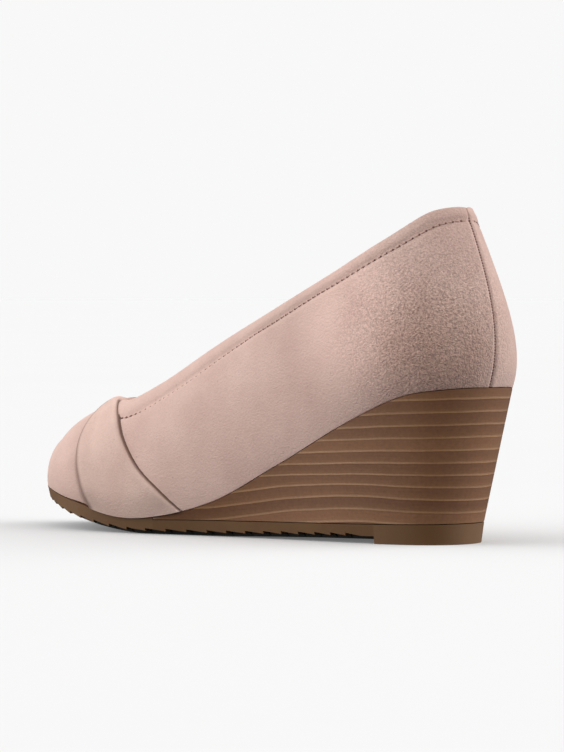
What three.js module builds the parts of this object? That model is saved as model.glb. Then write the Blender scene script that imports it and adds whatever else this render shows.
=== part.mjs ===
// A wedge pump for the left foot, in millimetres: x runs to the toe, y to the outer side of the foot
// and z up from the floor. Each piece is worked out from one surface, the last, which is laid out by
// two shares: "along" goes from the back seam (0) to the tip of the toe (1) on either side, and "up"
// goes from the feather line, where upper and sole meet, to the crest of the last.
import * as THREE from 'three';
import { mergeVertices } from 'three/addons/utils/BufferGeometryUtils.js';

// The last
const LAST_LENGTH = 231;
const SEAT_WIDTH = 57;
const BALL_WIDTH = 71;
const SEAT_HEIGHT = 58.1;
const TREAD_HEIGHT = 6.8;
const TOE_SPRING = 10.6;
const BACK_HEIGHT = 66.5;
const VAMP_HEIGHT = 40;

// The upper and the pieces on it
const WALL = 1.8;
const DRAPE_THICKNESS = 1.3;
const DRAPE_EDGE = 0.5;
const DRAPE_TAPER = 0.15;
const INSOLE_THICKNESS = 1.6;
const INSOLE_CLEARANCE = 0.4;

// The sole
const WEDGE_LENGTH = 140;
const WEDGE_EDGE = 0.8;
const UNDERCUT = 11;
const PAD_WIDTH = 46;
const PAD_HEIGHT = 7.9;
const WAIST_LIFT = 1.4;
const TOE_LIFT = 11.8;
const EDGE_LIFT = 1.3;
const EDGE_INSET = 1;
const TREAD_MARGIN = 6;
const TOOTH_DEPTH = 1.6;
const TEETH = 24;

// Two pieces that touch keep this gap.
const GAP = 0.3;

// Shares along the last: where the width changes over from the seat's to the ball's, and where the
// crest changes from the cone's open edge to the ridge of the vamp
const SEAT_END = 0.3;
const BALL_START = 0.7;
const CONE_END = 0.5;
const RIDGE_START = 0.6;

// The feather line: the half widths on the outer and inner side, and the swing of the middle line, are
// shares of the last's width there. lift is a share of the seat's height over the tread, and spring a
// share of the toe spring.
const FEATHER = [
  { outer: 0.982, inner: 1.067, swing: 0, lift: 1, spring: 0 },
  { outer: 0.912, inner: 1.08, swing: 0, lift: 0.99, spring: 0 },
  { outer: 0.763, inner: 0.79, swing: 0, lift: 0.93, spring: 0 },
  { outer: 0.64, inner: 0.596, swing: 0, lift: 0.717, spring: 0 },
  { outer: 0.532, inner: 0.456, swing: 0, lift: 0.417, spring: 0 },
  { outer: 0.5, inner: 0.391, swing: 0, lift: 0.11, spring: 0 },
  { outer: 0.567, inner: 0.472, swing: 0.004, lift: -0.012, spring: 0 },
  { outer: 0.641, inner: 0.585, swing: 0, lift: 0, spring: 0.453 },
  { outer: 0.669, inner: 0.641, swing: -0.028, lift: 0, spring: 0.83 },
  { outer: 0.648, inner: 0.634, swing: -0.063, lift: 0, spring: 0.93 },
  { outer: 0.606, inner: 0.606, swing: -0.077, lift: 0, spring: 0.93 },
];

// The crest: place is a share of the length, outer and inner are shares of the width, and the height
// over the feather line is a share of the back height (cone) and of the vamp height (vamp). The crest
// is the open edge of the foot's cone behind the throat and the ridge of the vamp before it.
const CREST = [
  { place: 0.079, outer: 0, inner: 0, cone: 1.21, vamp: 0 },
  { place: 0.1, outer: 0.193, inner: 0.155, cone: 1.188, vamp: 0 },
  { place: 0.169, outer: 0.351, inner: 0.315, cone: 1.114, vamp: 0 },
  { place: 0.264, outer: 0.395, inner: 0.395, cone: 1.068, vamp: 0 },
  { place: 0.385, outer: 0.329, inner: 0.321, cone: 1.059, vamp: 0 },
  { place: 0.515, outer: 0.188, inner: 0.172, cone: 0.8, vamp: 0.455 },
  { place: 0.649, outer: 0, inner: 0, cone: 0.35, vamp: 1.013 },
  { place: 0.784, outer: 0, inner: 0, cone: 0, vamp: 1.048 },
  { place: 0.865, outer: 0, inner: 0, cone: 0, vamp: 0.808 },
  { place: 0.899, outer: 0, inner: 0, cone: 0, vamp: 0.687 },
  { place: 0.909, outer: 0, inner: 0, cone: 0, vamp: 0.667 },
];

// How a rib bends on its way from the feather line to the crest: it leaves with a bulge (a share of the
// width) and a rise, and arrives from a reach (a share of the way back to the feather line) and a drop.
// Rise and drop are shares of the crest's height.
const RIBS = [
  { bulge: 0.15, rise: 0.28, reach: 0.788, drop: 0.4 },
  { bulge: 0.113, rise: 0.235, reach: 0.645, drop: 0.43 },
  { bulge: 0.117, rise: 0.285, reach: 0.815, drop: 0.37 },
  { bulge: 0.088, rise: 0.324, reach: 0.8, drop: 0.352 },
  { bulge: 0.068, rise: 0.341, reach: 0.8, drop: 0.284 },
  { bulge: 0.055, rise: 0.308, reach: 0.75, drop: 0.14 },
  { bulge: 0.058, rise: 0.282, reach: 0.62, drop: 0 },
  { bulge: 0.06, rise: 0.349, reach: 0.58, drop: 0 },
  { bulge: 0.024, rise: 0.42, reach: 0.64, drop: 0 },
  { bulge: 0.028, rise: 0.6, reach: 0.6, drop: 0 },
  { bulge: 0.01, rise: 0.48, reach: 0.6, drop: 0 },
];

// The topline, from the back seam to the middle of the throat
const TOPLINE = [
  { along: 0, up: 0.843 },
  { along: 0.1, up: 0.855 },
  { along: 0.2, up: 0.797 },
  { along: 0.3, up: 0.8 },
  { along: 0.4, up: 0.82 },
  { along: 0.5, up: 0.79 },
  { along: 0.59, up: 0.683 },
  { along: 0.65, up: 0.668 },
  { along: 0.69, up: 0.785 },
  { along: 0.715, up: 0.9 },
  { along: 0.724, up: 1 },
];

// The draped band of the vamp, from the feather line over the ridge: its edge to the heel and its edge
// to the toe, as shares along the last. Past the ridge, up counts on from 1 down the other side.
const DRAPE = [
  { up: 0, rear: 0.53, front: 0.667 },
  { up: 0.14, rear: 0.558, front: 0.679 },
  { up: 0.28, rear: 0.594, front: 0.696 },
  { up: 0.42, rear: 0.626, front: 0.711 },
  { up: 0.56, rear: 0.652, front: 0.721 },
  { up: 0.7, rear: 0.679, front: 0.727 },
  { up: 0.84, rear: 0.709, front: 0.733 },
  { up: 1, rear: 0.731, front: 0.747 },
  { up: 1.14, rear: 0.716, front: 0.74 },
];
// The share of the table's length at which the inner band ends and meets the outer one
const INNER_DRAPE_END = 0.757;

// The middle of the outsole's underside over the floor, as shares of the waist's and the toe's lift
const UNDERSIDE = [
  { waist: 0, toe: 0 },
  { waist: 0, toe: 0 },
  { waist: 1, toe: 0 },
  { waist: 1, toe: 0 },
  { waist: 0.55, toe: 0 },
  { waist: 0, toe: 0 },
  { waist: 0, toe: 0 },
  { waist: 0, toe: 0.36 },
  { waist: 0, toe: 0.8 },
  { waist: 0, toe: 0.96 },
  { waist: 0, toe: 1 },
];

// Shares along the last where the heel pad ends and where the teeth of the sole's edge start and end
const PAD_END = 0.23;
const TEETH_START = 0.256;
const TEETH_END = 0.905;

// How evenly the wedge widens from the pad to its tip: 1 is a straight line.
const WEDGE_FLARE = 1.6;

// The most of its half width by which the tread draws in from the outsole's edge
const TREAD_SHARE = 0.5;

// How finely the pieces are divided
const QUARTER_COLUMNS = 27;
const VAMP_COLUMNS = 11;
const UPPER_ROWS = 12;
const DRAPE_ROWS = 20;
const DRAPE_COLUMNS = 6;

// Steps, as shares, over which a slope is taken, and the share up at which the facing of the crest is
// taken, because the ribs close up on it
const SLOPE_STEP = 0.001;
const RIDGE_STEP = 0.05;
const CREST_SHARE = 0.985;

const OUTER = 1;
const INNER = -1;

const mix = (a, b, share) => a + (b - a) * share;

const smooth = (from, to, value) => THREE.MathUtils.smoothstep(value, from, to);

// A value of a table's column at a share of the table's length, on a curve through its rows
function read(table, column, share) {
  const last = table.length - 1;
  const place = THREE.MathUtils.clamp(share, 0, 1) * last;
  const row = Math.min(Math.floor(place), last - 1);
  const value = (index) => table[last - Math.abs(last - Math.abs(index))][column];
  const [a, b, c, d] = [row - 1, row, row + 1, row + 2].map(value);
  const f = place - row;
  return b + 0.5 * f * (c - a + f * (2 * a - 5 * b + 4 * c - d + f * (3 * (b - c) + d - a)));
}

// The feather line

const widthAt = (along) => mix(SEAT_WIDTH, BALL_WIDTH, smooth(SEAT_END, BALL_START, along));

const placeOf = (along) => (LAST_LENGTH * (1 - Math.cos(Math.PI * along))) / 2;

const alongOf = (x) => Math.acos(THREE.MathUtils.clamp(1 - (2 * x) / LAST_LENGTH, -1, 1)) / Math.PI;

const middleAt = (along) => widthAt(along) * read(FEATHER, 'swing', along);

function outline(along, side) {
  const share = read(FEATHER, side === OUTER ? 'outer' : 'inner', along) * Math.sin(Math.PI * along);
  return new THREE.Vector3(placeOf(along), middleAt(along) + side * widthAt(along) * share, 0);
}

// The level direction out of the outline
function outward(along, side) {
  const at = THREE.MathUtils.clamp(along, 2 * SLOPE_STEP, 1 - 2 * SLOPE_STEP);
  const run = outline(at + SLOPE_STEP, side).sub(outline(at - SLOPE_STEP, side));
  return new THREE.Vector3(-run.y * side, run.x * side, 0).normalize();
}

function footbed(along) {
  const lift = (SEAT_HEIGHT - TREAD_HEIGHT) * read(FEATHER, 'lift', along);
  return TREAD_HEIGHT + lift + TOE_SPRING * read(FEATHER, 'spring', along);
}

const feather = (along, side) => outline(along, side).setZ(footbed(along));

// The surface of the last

const crestHeight = (along) =>
  BACK_HEIGHT * read(CREST, 'cone', along) + VAMP_HEIGHT * read(CREST, 'vamp', along);

function crest(along, side) {
  const half = Math.max(read(CREST, side === OUTER ? 'outer' : 'inner', along), 0) * widthAt(along);
  const x = LAST_LENGTH * read(CREST, 'place', along);
  return new THREE.Vector3(x, middleAt(along) + side * half, footbed(along) + crestHeight(along));
}

// How steeply the ridge of the vamp falls to the toe: its ribs meet it level with this slope.
function ridgeFall(along) {
  const at = THREE.MathUtils.clamp(along, RIDGE_START + RIDGE_STEP, 1 - RIDGE_STEP);
  const run = crest(at + RIDGE_STEP, OUTER).sub(crest(at - RIDGE_STEP, OUTER));
  return (run.z / run.x) * smooth(CONE_END, RIDGE_START, along);
}

function rib(along, up, side) {
  const foot = feather(along, side);
  const top = crest(along, side);
  const height = crestHeight(along);
  const leave = outward(along, side).multiplyScalar(read(RIBS, 'bulge', along) * widthAt(along)).add(foot);
  leave.z += read(RIBS, 'rise', along) * height;
  const arrive = top.clone().lerp(foot, read(RIBS, 'reach', along));
  arrive.z = top.z + ridgeFall(along) * (arrive.x - top.x) - read(RIBS, 'drop', along) * height;
  return new THREE.CubicBezierCurve3(foot, leave, arrive, top).getPoint(up);
}

function facing(along, up, side) {
  const at = THREE.MathUtils.clamp(up, SLOPE_STEP, CREST_SHARE);
  const run = rib(along + SLOPE_STEP, at, side).sub(rib(along - SLOPE_STEP, at, side));
  const climb = rib(along, at + SLOPE_STEP, side).sub(rib(along, at - SLOPE_STEP, side));
  return climb.cross(run).multiplyScalar(side).normalize();
}

// A point of the last's surface, moved out by a distance. Past the ridge, up runs down the other side.
// Where both sides meet, the way out is the mean of theirs.
function skin(along, up, side, out) {
  const turned = up > 1;
  const height = turned ? 2 - up : up;
  const flank = turned ? -side : side;
  const away = facing(along, height, flank);
  const nearest = Math.min(1 - height, along, 1 - along);
  if (nearest < SLOPE_STEP) {
    away.add(facing(along, height, -flank)).normalize();
  }
  return rib(along, height, flank).addScaledVector(away, out);
}

// Solids

function solid(corners, faces) {
  const geometry = new THREE.BufferGeometry();
  geometry.setAttribute('position', new THREE.Float32BufferAttribute(corners.flatMap((p) => p.toArray()), 3));
  geometry.setIndex(faces.flat());
  const welded = mergeVertices(geometry, 1e-4);
  const index = [];
  for (let i = 0; i < welded.index.count; i += 3) {
    const [a, b, c] = [0, 1, 2].map((corner) => welded.index.getX(i + corner));
    if (a !== b && b !== c && c !== a) {
      index.push(a, b, c);
    }
  }
  welded.setIndex(index);
  welded.computeVertexNormals();
  return welded;
}

// The two triangles of a four-sided face
const quad = (a, b, c, d) => [[a, b, c], [a, c, d]];

// A wall between an outside and an inside that share one list of faces, closed along its free edges
function wall(outside, inside, faces) {
  const count = outside.length;
  const all = [...faces];
  const directed = new Set();
  for (const [a, b, c] of faces) {
    all.push([a + count, c + count, b + count]);
    directed.add(`${a} ${b}`).add(`${b} ${c}`).add(`${c} ${a}`);
  }
  for (const edge of directed) {
    const [a, b] = edge.split(' ').map(Number);
    if (!directed.has(`${b} ${a}`)) {
      all.push(...quad(b, a, a + count, b + count));
    }
  }
  return solid([...outside, ...inside], all);
}

// A solid through a row of rings with as many corners each, with both end rings closed
function loft(rings) {
  const size = rings[0].length;
  const faces = [];
  for (let ring = 0; ring + 1 < rings.length; ring += 1) {
    for (let i = 0; i < size; i += 1) {
      const here = ring * size;
      const next = (i + 1) % size;
      faces.push(...quad(here + i, here + next, here + size + next, here + size + i));
    }
  }
  const end = (rings.length - 1) * size;
  for (let i = 1; i + 1 < size; i += 1) {
    faces.push([0, i + 1, i], [end, end + i, end + i + 1]);
  }
  return solid(rings.flat(), faces);
}

const steps = (count, value) => Array.from({ length: count + 1 }, (unused, i) => value(i / count));

// The columns of the upper: behind the throat they end on the topline, before it on the ridge.
const THROAT = TOPLINE[TOPLINE.length - 1].along;
const QUARTER = steps(QUARTER_COLUMNS, (share) => ({
  along: read(TOPLINE, 'along', share),
  top: read(TOPLINE, 'up', share),
}));
const VAMP = steps(VAMP_COLUMNS, (share) => ({ along: mix(THROAT, 1, share), top: 1 })).slice(1);
const COLUMNS = [...QUARTER, ...VAMP];

function upper() {
  const numbers = new Map();
  const outside = [];
  const inside = [];
  function number(side, column, row) {
    const { along, top } = COLUMNS[column];
    const onRidge = row === UPPER_ROWS && column >= QUARTER_COLUMNS;
    const shared = onRidge || column === 0 || column === COLUMNS.length - 1;
    const key = `${shared ? OUTER : side} ${column} ${row}`;
    if (!numbers.has(key)) {
      const up = (top * row) / UPPER_ROWS;
      numbers.set(key, outside.length);
      outside.push(skin(along, up, side, 0));
      inside.push(skin(along, up, side, -WALL));
    }
    return numbers.get(key);
  }
  const faces = [];
  for (const side of [OUTER, INNER]) {
    for (let column = 0; column + 1 < COLUMNS.length; column += 1) {
      for (let row = 0; row < UPPER_ROWS; row += 1) {
        const corners = [
          number(side, column, row),
          number(side, column, row + 1),
          number(side, column + 1, row + 1),
          number(side, column + 1, row),
        ];
        faces.push(...quad(...(side === OUTER ? corners : corners.reverse())));
      }
    }
  }
  return wall(outside, inside, faces);
}

// A draped band, from the feather line of one side to an end share of its table
function drape(side, end) {
  const outside = [];
  const inside = [];
  for (const share of steps(DRAPE_ROWS, (part) => part * end)) {
    const up = read(DRAPE, 'up', share);
    const thickness = mix(DRAPE_EDGE, DRAPE_THICKNESS, smooth(0, DRAPE_TAPER, up));
    for (const across of steps(DRAPE_COLUMNS, (part) => part)) {
      const along = mix(read(DRAPE, 'rear', share), read(DRAPE, 'front', share), across);
      inside.push(skin(along, up, side, GAP));
      outside.push(skin(along, up, side, GAP + thickness));
    }
  }
  const faces = [];
  const stride = DRAPE_COLUMNS + 1;
  for (let start = 0; start + stride < outside.length; start += stride) {
    for (let i = start; i < start + DRAPE_COLUMNS; i += 1) {
      const corners = [i, i + stride, i + stride + 1, i + 1];
      faces.push(...quad(...(side === OUTER ? corners : corners.reverse())));
    }
  }
  return wall(outside, inside, faces);
}

// A point of the outline drawn in by an inset. At the heel and toe both sides give the same point.
function drawnIn(along, side, inset) {
  const point = outline(along, side).addScaledVector(outward(along, side), -inset);
  if (along <= 0 || along >= 1) {
    const other = outline(along, -side).addScaledVector(outward(along, -side), -inset);
    point.add(other).multiplyScalar(0.5);
  }
  return point;
}

// A ring across the shoe: over the outer and inner side, then back under them
const ringOf = (top, bottom) => [top(OUTER), top(INNER), bottom(INNER), bottom(OUTER)];

function insole() {
  const rings = COLUMNS.map(({ along }) => {
    const at = (side, height) => {
      const point = drawnIn(along, side, WALL + INSOLE_CLEARANCE);
      return point.setZ(footbed(alongOf(point.x)) + height);
    };
    return ringOf((side) => at(side, INSOLE_THICKNESS), (side) => at(side, 0));
  });
  return loft(rings);
}

const WEDGE_TIP = alongOf(WEDGE_LENGTH);

// The seam between wedge and outsole over the floor
function seamHeight(x) {
  const tip = footbed(WEDGE_TIP) - GAP - WEDGE_EDGE;
  return mix(PAD_HEIGHT, tip, (x - UNDERCUT) / (WEDGE_LENGTH - UNDERCUT));
}

// The lower edge of the wedge's wall, which leans in to the heel pad
function wedgeFoot(along, side) {
  const point = outline(along, side);
  const forward = Math.min(point.x / WEDGE_LENGTH, 1);
  const narrow = mix(PAD_WIDTH / SEAT_WIDTH, 1, forward ** WEDGE_FLARE);
  const x = point.x + UNDERCUT * (1 - forward);
  const y = mix(middleAt(along), point.y, narrow);
  return new THREE.Vector3(x, y, seamHeight(x));
}

function wedge() {
  const stations = COLUMNS.map(({ along }) => along).filter((along) => along < WEDGE_TIP);
  const rings = [...stations, WEDGE_TIP].map((along) => {
    const top = (side) => feather(along, side).setZ(footbed(along) - GAP);
    return ringOf(top, (side) => wedgeFoot(along, side));
  });
  return loft(rings);
}

// The share along the last where the outsole's top steps up before the wedge's tip
const WEDGE_STEP = alongOf(WEDGE_LENGTH + GAP);

// Half the share between the two sides of a step
const STEP_SIDE = 1e-6;

// The middle of the outsole's underside over the floor
function underside(along) {
  const lift = WAIST_LIFT * read(UNDERSIDE, 'waist', along) + TOE_LIFT * read(UNDERSIDE, 'toe', along);
  return Math.max(lift, 0);
}

// How far a tooth of the outsole's edge is cut away: each cut ramps up to the toe and then drops.
function toothCut(along) {
  const place = ((along - TEETH_START) / (TEETH_END - TEETH_START)) * TEETH;
  return place < 0 || place > TEETH ? 0 : TOOTH_DEPTH * (place % 1);
}

// A ring of the outsole. What steps there, such as the heel pad or a tooth, follows the share "state".
function soleRing(along, state) {
  const underWedge = state < WEDGE_STEP;
  const onPad = state < PAD_END;
  const top = (side) => {
    const edge = underWedge ? wedgeFoot(along, side) : feather(along, side);
    return edge.setZ(edge.z - GAP);
  };
  const edge = (side) => {
    const upright = top(side).sub(outline(along, side)).setZ(0);
    const height = onPad ? 0 : underside(along) + EDGE_LIFT + toothCut(state);
    return drawnIn(along, side, EDGE_INSET).add(upright).setZ(height);
  };
  const tread = (side) => {
    const point = edge(side);
    const half = point.y - middleAt(along);
    const inset = Math.min(TREAD_MARGIN, Math.abs(half) * TREAD_SHARE);
    return point.set(point.x, point.y - Math.sign(half) * inset, onPad ? 0 : underside(along));
  };
  return [top(OUTER), top(INNER), edge(INNER), tread(INNER), tread(OUTER), edge(OUTER)];
}

function outsole() {
  const teeth = steps(TEETH, (share) => mix(TEETH_START, TEETH_END, share));
  const columns = COLUMNS.map(({ along }) => along);
  const stations = [...columns, ...teeth, PAD_END, WEDGE_STEP].sort((a, b) => a - b);
  const rings = stations.flatMap((along) => [
    soleRing(along, along - STEP_SIDE),
    soleRing(along, along + STEP_SIDE),
  ]);
  return loft(rings);
}

// The shoe

const shoe = new THREE.Group();

function add(name, geometry, color, roughness) {
  const mesh = new THREE.Mesh(geometry, new THREE.MeshStandardMaterial({ color, roughness, metalness: 0 }));
  mesh.name = name;
  shoe.add(mesh);
}

add('outsole', outsole(), 0x7d6046, 0.75);
add('wedge', wedge(), 0x7a5540, 0.5);
add('upper', upper(), 0xd0b0a4, 0.95);
add('drape_outer', drape(OUTER, 1), 0xd8baac, 0.95);
add('drape_inner', drape(INNER, INNER_DRAPE_END), 0xd8baac, 0.95);
add('insole', insole(), 0xc9b49c, 0.8);

// The shoe stands on z = 0, with the middle of its box over the origin.
const box = new THREE.Box3().setFromObject(shoe);
const middle = box.getCenter(new THREE.Vector3());
shoe.position.set(-middle.x, -middle.y, -box.min.z);

export default shoe;
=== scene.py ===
import math

import bmesh
import bpy
import numpy as np
from mathutils import Matrix, Vector


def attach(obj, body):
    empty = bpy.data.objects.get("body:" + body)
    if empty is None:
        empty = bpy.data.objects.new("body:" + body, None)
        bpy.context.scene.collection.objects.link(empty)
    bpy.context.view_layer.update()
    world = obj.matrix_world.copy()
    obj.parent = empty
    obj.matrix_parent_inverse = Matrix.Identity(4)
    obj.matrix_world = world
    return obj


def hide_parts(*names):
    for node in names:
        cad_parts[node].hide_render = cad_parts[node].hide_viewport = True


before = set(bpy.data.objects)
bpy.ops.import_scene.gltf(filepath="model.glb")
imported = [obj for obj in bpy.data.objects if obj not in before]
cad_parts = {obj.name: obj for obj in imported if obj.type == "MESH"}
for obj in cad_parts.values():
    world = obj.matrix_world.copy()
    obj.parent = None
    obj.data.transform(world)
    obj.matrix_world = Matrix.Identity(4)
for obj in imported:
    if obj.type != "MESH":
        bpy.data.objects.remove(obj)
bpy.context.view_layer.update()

MM = 0.001
OUTER, INNER = 1.0, -1.0

# Where the last's frame starts: the back of the feather line, which is the wedge's rearmost point
HEEL = min((v.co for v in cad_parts["wedge"].data.vertices), key=lambda co: co.x)
ORIGIN = np.array([HEEL.x, HEEL.y, 0.0])

# The shoe's sizes
LAST_LENGTH = 231.0
SEAT_WIDTH = 57.0
BALL_WIDTH = 71.0
SEAT_HEIGHT = 58.1
TREAD_HEIGHT = 6.8
TOE_SPRING = 10.6
BACK_HEIGHT = 66.5
VAMP_HEIGHT = 40.0
WALL = 1.8
DRAPE_THICKNESS = 1.3
DRAPE_EDGE = 0.5
DRAPE_TAPER = 0.15
INSOLE_THICKNESS = 1.6
INSOLE_CLEARANCE = 0.4
WEDGE_LENGTH = 140.0
WEDGE_EDGE = 0.8
WEDGE_FLARE = 1.6
UNDERCUT = 11.0
PAD_WIDTH = 46.0
PAD_HEIGHT = 7.9
WAIST_LIFT = 1.4
TOE_LIFT = 11.8
EDGE_LIFT = 1.3
EDGE_INSET = 1.0
TREAD_MARGIN = 6.0
TREAD_SHARE = 0.5
TOOTH_DEPTH = 1.6
TEETH = 24
GAP = 0.3

# The last, in rows a tenth of the way apart from heel to toe, as shares of the sizes above
FEATHER = {
    "outer": [0.982, 0.912, 0.763, 0.64, 0.532, 0.5, 0.567, 0.641, 0.669, 0.648, 0.606],
    "inner": [1.067, 1.08, 0.79, 0.596, 0.456, 0.391, 0.472, 0.585, 0.641, 0.634, 0.606],
    "swing": [0, 0, 0, 0, 0, 0, 0.004, 0, -0.028, -0.063, -0.077],
    "lift": [1, 0.99, 0.93, 0.717, 0.417, 0.11, -0.012, 0, 0, 0, 0],
    "spring": [0, 0, 0, 0, 0, 0, 0, 0.453, 0.83, 0.93, 0.93],
}
CREST = {
    "place": [0.079, 0.1, 0.169, 0.264, 0.385, 0.515, 0.649, 0.784, 0.865, 0.899, 0.909],
    "outer": [0, 0.193, 0.351, 0.395, 0.329, 0.188, 0, 0, 0, 0, 0],
    "inner": [0, 0.155, 0.315, 0.395, 0.321, 0.172, 0, 0, 0, 0, 0],
    "cone": [1.21, 1.188, 1.114, 1.068, 1.059, 0.8, 0.35, 0, 0, 0, 0],
    "vamp": [0, 0, 0, 0, 0, 0.455, 1.013, 1.048, 0.808, 0.687, 0.667],
}
RIBS = {
    "bulge": [0.15, 0.113, 0.117, 0.088, 0.068, 0.055, 0.058, 0.06, 0.024, 0.028, 0.01],
    "rise": [0.28, 0.235, 0.285, 0.324, 0.341, 0.308, 0.282, 0.349, 0.42, 0.6, 0.48],
    "reach": [0.788, 0.645, 0.815, 0.8, 0.8, 0.75, 0.62, 0.58, 0.64, 0.6, 0.6],
    "drop": [0.4, 0.43, 0.37, 0.352, 0.284, 0.14, 0, 0, 0, 0, 0],
}
UNDERSIDE = {
    "waist": [0, 0, 1, 1, 0.55, 0, 0, 0, 0, 0, 0],
    "toe": [0, 0, 0, 0, 0, 0, 0, 0.36, 0.8, 0.96, 1],
}
# The topline from the back seam to the throat, and the draped band from the feather line over the ridge
TOPLINE = {
    "along": [0, 0.1, 0.2, 0.3, 0.4, 0.5, 0.59, 0.65, 0.69, 0.715, 0.724],
    "up": [0.843, 0.855, 0.797, 0.8, 0.82, 0.79, 0.683, 0.668, 0.785, 0.9, 1],
}
DRAPE = {
    "up": [0, 0.14, 0.28, 0.42, 0.56, 0.7, 0.84, 1, 1.14],
    "rear": [0.53, 0.558, 0.594, 0.626, 0.652, 0.679, 0.709, 0.731, 0.716],
    "front": [0.667, 0.679, 0.696, 0.711, 0.721, 0.727, 0.733, 0.747, 0.74],
}
THROAT = TOPLINE["along"][-1]
INNER_DRAPE_END = 0.757
SEAT_END, BALL_START = 0.3, 0.7
CONE_END, RIDGE_START = 0.5, 0.6
PAD_END, TEETH_START, TEETH_END = 0.23, 0.256, 0.905
STEP = 0.001
RIDGE_STEP = 0.05
CREST_SHARE = 0.985


# The last's surface, for rows of shares at once


def smooth(start, end, value):
    share = np.clip((value - start) / (end - start), 0, 1)
    return share * share * (3 - 2 * share)


def mix(a, b, share):
    return a + (b - a) * share


def unit(vectors):
    return vectors / np.maximum(np.linalg.norm(vectors, axis=-1, keepdims=True), 1e-9)


def read(column, share):
    """A column's value at a share of its length, on a curve through its rows"""
    values = np.array(column, float)
    last = len(values) - 1
    place = np.clip(share, 0, 1) * last
    row = np.minimum(place.astype(int), last - 1)
    a, b, c, d = (values[last - abs(last - abs(row + k))] for k in (-1, 0, 1, 2))
    f = place - row
    return b + 0.5 * f * (c - a + f * (2 * a - 5 * b + 4 * c - d + f * (3 * (b - c) + d - a)))


def sided(table, along, side):
    return np.where(side > 0, read(table["outer"], along), read(table["inner"], along))


def width_at(along):
    return mix(SEAT_WIDTH, BALL_WIDTH, smooth(SEAT_END, BALL_START, along))


def along_of(x):
    return np.arccos(np.clip(1 - 2 * x / LAST_LENGTH, -1, 1)) / math.pi


def middle_at(along):
    return width_at(along) * read(FEATHER["swing"], along)


def points(x, y, z):
    return np.stack(np.broadcast_arrays(x, y, z), axis=-1).astype(float)


def outline(along, side):
    half = sided(FEATHER, along, side) * np.sin(math.pi * along) * width_at(along)
    x = LAST_LENGTH * (1 - np.cos(math.pi * along)) / 2
    return points(x, middle_at(along) + side * half, 0)


def outward(along, side):
    """The level direction out of the outline"""
    at = np.clip(along, 2 * STEP, 1 - 2 * STEP)
    run = outline(at + STEP, side) - outline(at - STEP, side)
    return unit(points(-run[..., 1] * side, run[..., 0] * side, 0))


def footbed(along):
    lift = (SEAT_HEIGHT - TREAD_HEIGHT) * read(FEATHER["lift"], along)
    return TREAD_HEIGHT + lift + TOE_SPRING * read(FEATHER["spring"], along)


def at_height(point, height):
    return points(point[..., 0], point[..., 1], height)


def crest_height(along):
    return BACK_HEIGHT * read(CREST["cone"], along) + VAMP_HEIGHT * read(CREST["vamp"], along)


def crest(along, side):
    half = np.maximum(sided(CREST, along, side), 0) * width_at(along)
    x = LAST_LENGTH * read(CREST["place"], along)
    return points(x, middle_at(along) + side * half, footbed(along) + crest_height(along))


def ridge_fall(along):
    """How steeply the vamp's ridge falls to the toe"""
    at = np.clip(along, RIDGE_START + RIDGE_STEP, 1 - RIDGE_STEP)
    run = crest(at + RIDGE_STEP, OUTER) - crest(at - RIDGE_STEP, OUTER)
    return run[..., 2] / run[..., 0] * smooth(CONE_END, RIDGE_START, along)


def rib(along, up, side):
    foot = at_height(outline(along, side), footbed(along))
    top = crest(along, side)
    height = crest_height(along)
    leave = foot + outward(along, side) * (read(RIBS["bulge"], along) * width_at(along))[..., None]
    leave[..., 2] += read(RIBS["rise"], along) * height
    arrive = mix(top, foot, read(RIBS["reach"], along)[..., None])
    fall = ridge_fall(along) * (arrive[..., 0] - top[..., 0])
    arrive[..., 2] = top[..., 2] + fall - read(RIBS["drop"], along) * height
    t = up[..., None]
    back = 1 - t
    return back**3 * foot + 3 * back**2 * t * leave + 3 * back * t**2 * arrive + t**3 * top


def facing(along, up, side):
    at = np.clip(up, STEP, CREST_SHARE)
    run = rib(along + STEP, at, side) - rib(along - STEP, at, side)
    climb = rib(along, at + STEP, side) - rib(along, at - STEP, side)
    return unit(np.cross(climb, run) * side[..., None])


def skin(along, up, side, out):
    """A point of the surface, moved out. Past the ridge, up runs down the other side."""
    along, up, side, out = (a.astype(float) for a in np.broadcast_arrays(along, up, side, out))
    turned = up > 1
    height = np.where(turned, 2 - up, up)
    flank = np.where(turned, -side, side)
    away = facing(along, height, flank)
    shared = np.minimum(np.minimum(1 - height, along), 1 - along) < STEP
    away = np.where(shared[..., None], unit(away + facing(along, height, -flank)), away)
    return rib(along, height, flank) + away * out[..., None]


# Mesh helpers


def finished(name, bm, material, sharp=None):
    """The piece's object, at the origin and riding on the shoe. Edges sharper than the angle stay sharp."""
    bmesh.ops.remove_doubles(bm, verts=bm.verts, dist=0.02 * MM)
    bmesh.ops.dissolve_degenerate(bm, edges=bm.edges, dist=0.005 * MM)
    bmesh.ops.recalc_face_normals(bm, faces=bm.faces)
    for face in bm.faces:
        face.smooth = True
    mesh = bpy.data.meshes.new(name)
    bm.to_mesh(mesh)
    bm.free()
    if sharp is not None:
        mesh.set_sharp_from_angle(angle=math.radians(sharp))
    obj = bpy.data.objects.new(name, mesh)
    bpy.context.scene.collection.objects.link(obj)
    obj.data.materials.append(material)
    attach(obj, "root")
    return obj


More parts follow.
